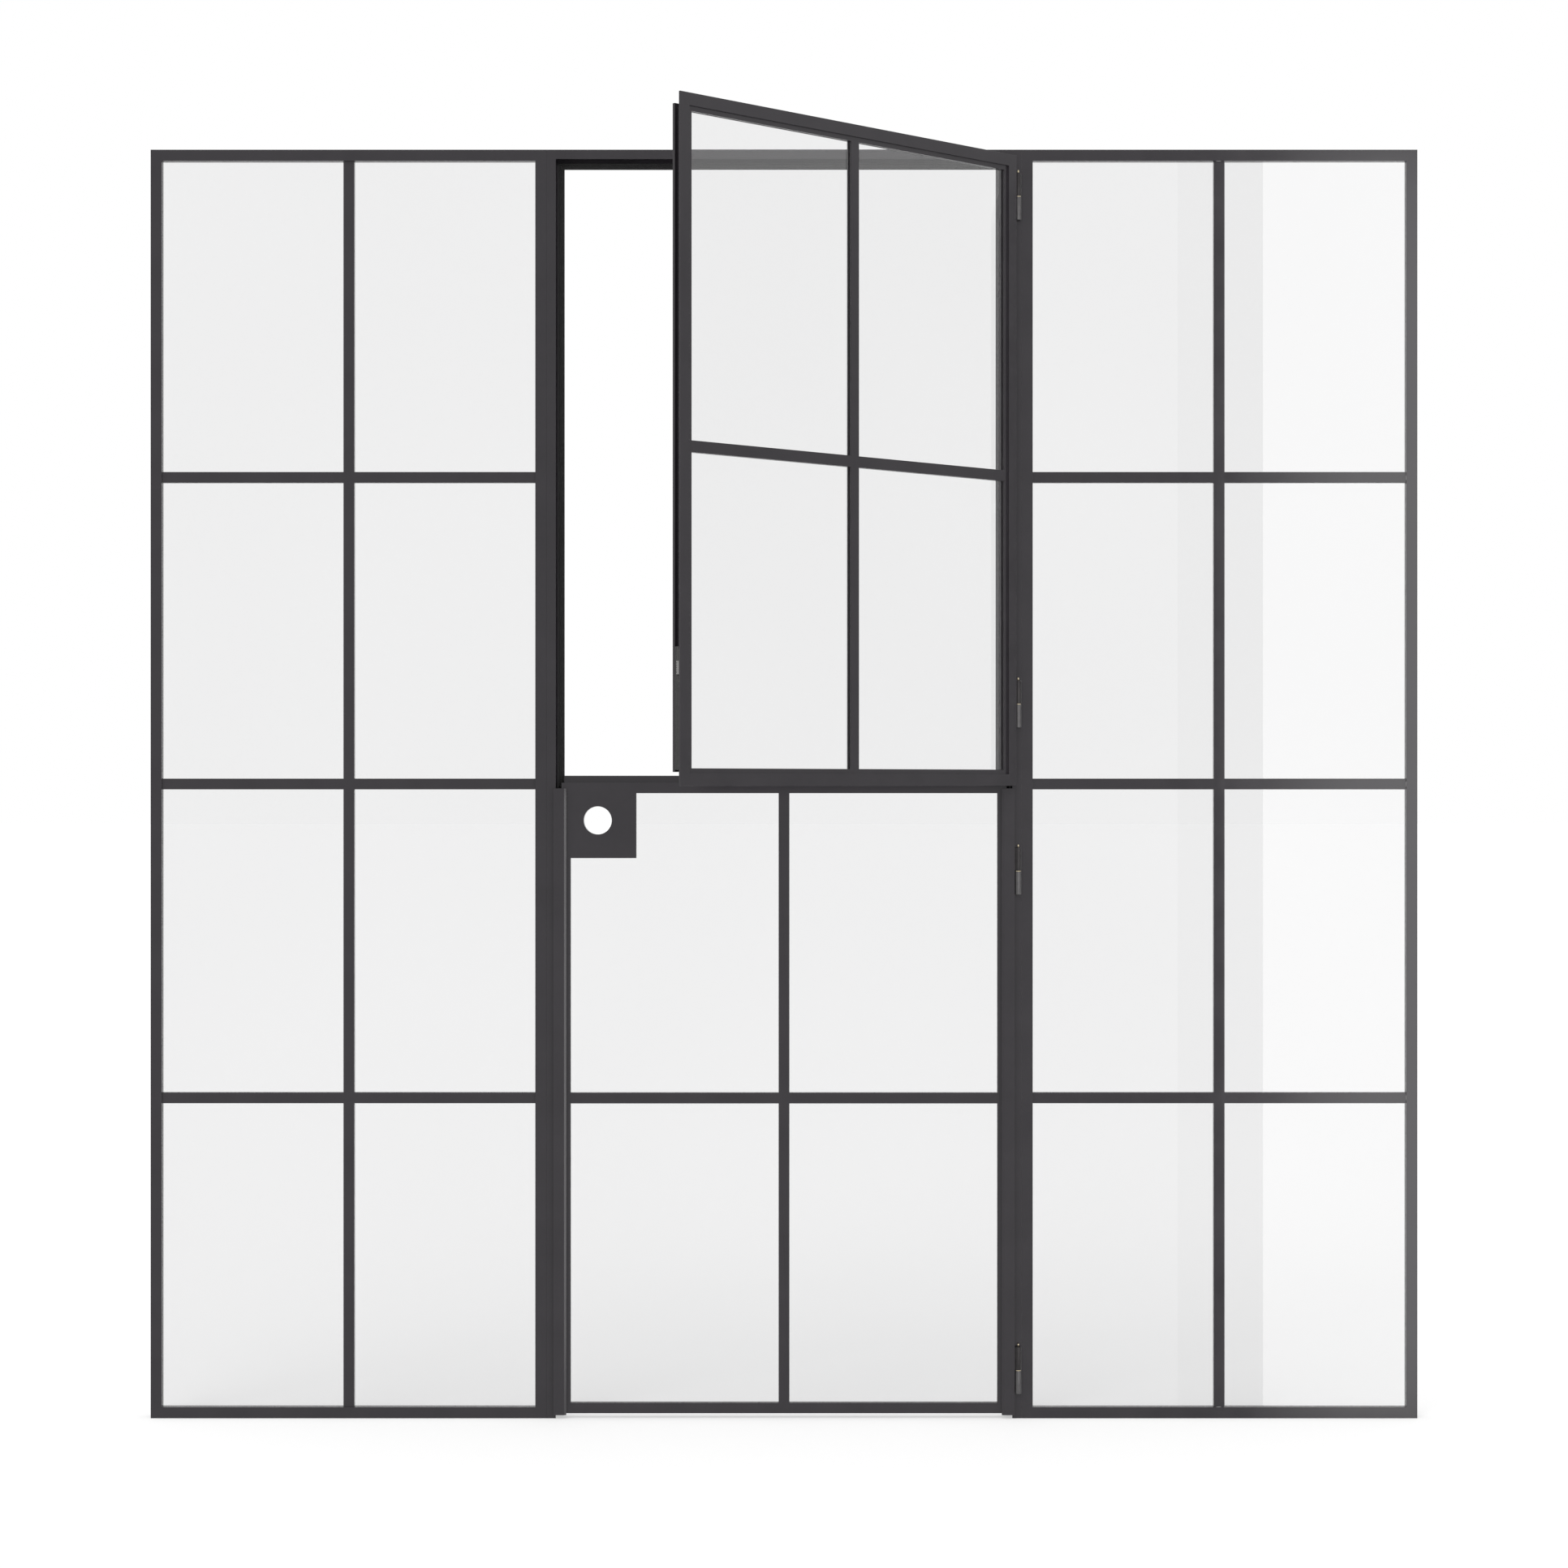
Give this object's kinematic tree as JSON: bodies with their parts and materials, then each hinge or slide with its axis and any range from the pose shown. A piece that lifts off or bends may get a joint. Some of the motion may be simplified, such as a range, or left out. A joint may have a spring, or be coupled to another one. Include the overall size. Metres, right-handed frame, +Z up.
{
  "type": "dutch door",
  "caption": "Steel-framed glazed dutch door between fixed glazed side panels, with a lower leaf, a separately hinged upper leaf, a bored lock box and a flush bolt.",
  "frame": {"origin": "outer face of the left side panel where it meets the wall, at floor level and at the middle of the frame's depth", "axes": "+X across the door to the right, +Y through the door away from the side it opens to, +Z up"},
  "size_m": [2.4384, 0.678, 2.442],
  "materials": {
    "painted_steel": "charcoal powder coat, fine satin",
    "clear_glass": "clear float glass",
    "black_rubber": "extruded, matte",
    "hinge_steel": "charcoal satin",
    "brass": "turned",
    "bolt_steel": "brushed"
  },
  "bodies": {
    "frame": {"left_outer_stile": "painted_steel", "left_inner_stile": "painted_steel", "left_top_rail": "painted_steel", "left_bottom_rail": "painted_steel", "left_upright_bar": "painted_steel", "left_cross_bars": "painted_steel", "left_beads": "painted_steel", "left_glass": "clear_glass", "right_outer_stile": "painted_steel", "right_inner_stile": "painted_steel", "right_top_rail": "painted_steel", "right_bottom_rail": "painted_steel", "right_upright_bar": "painted_steel", "right_cross_bars": "painted_steel", "right_beads": "painted_steel", "right_glass": "clear_glass", "lock_jamb": "painted_steel", "hinge_jamb": "painted_steel", "head": "painted_steel", "frame_seal": "black_rubber", "frame_hinge_halves": "hinge_steel", "hinge_washers": "brass", "hinge_pins": "brass"},
    "lower_leaf": {"lower_lock_stile": "painted_steel", "lower_hinge_stile": "painted_steel", "lower_meeting_rail": "painted_steel", "lower_foot_rail": "painted_steel", "lower_upright_bar": "painted_steel", "lower_cross_bars": "painted_steel", "lower_beads": "painted_steel", "lower_glass": "clear_glass", "lock_box": "painted_steel", "lower_hinge_knuckles": "hinge_steel"},
    "upper_leaf": {"upper_lock_stile": "painted_steel", "upper_hinge_stile": "painted_steel", "upper_top_rail": "painted_steel", "upper_foot_rail": "painted_steel", "upper_upright_bar": "painted_steel", "upper_cross_bars": "painted_steel", "upper_beads": "painted_steel", "upper_glass": "clear_glass", "upper_hinge_knuckles": "hinge_steel", "flush_bolt_plate": "painted_steel"},
    "flush_bolt": {"flush_bolt": "bolt_steel"}
  },
  "joints": [
    {"name": "lower_leaf_swing", "type": "hinge", "parent": "frame", "child": "lower_leaf", "pos_m": [1.6696, -0.02575, 0], "axis": [0, 0, 1], "range_deg": [0, 90]},
    {"name": "upper_leaf_swing", "type": "hinge", "parent": "lower_leaf", "child": "upper_leaf", "pos_m": [1.6696, -0.02575, 0], "axis": [0, 0, 1], "range_deg": [-45, 45]},
    {"name": "flush_bolt_slide", "type": "slide", "parent": "upper_leaf", "child": "flush_bolt", "axis": [0, 0, -1], "range_m": [-0.024, 0.0126]}
  ]
}
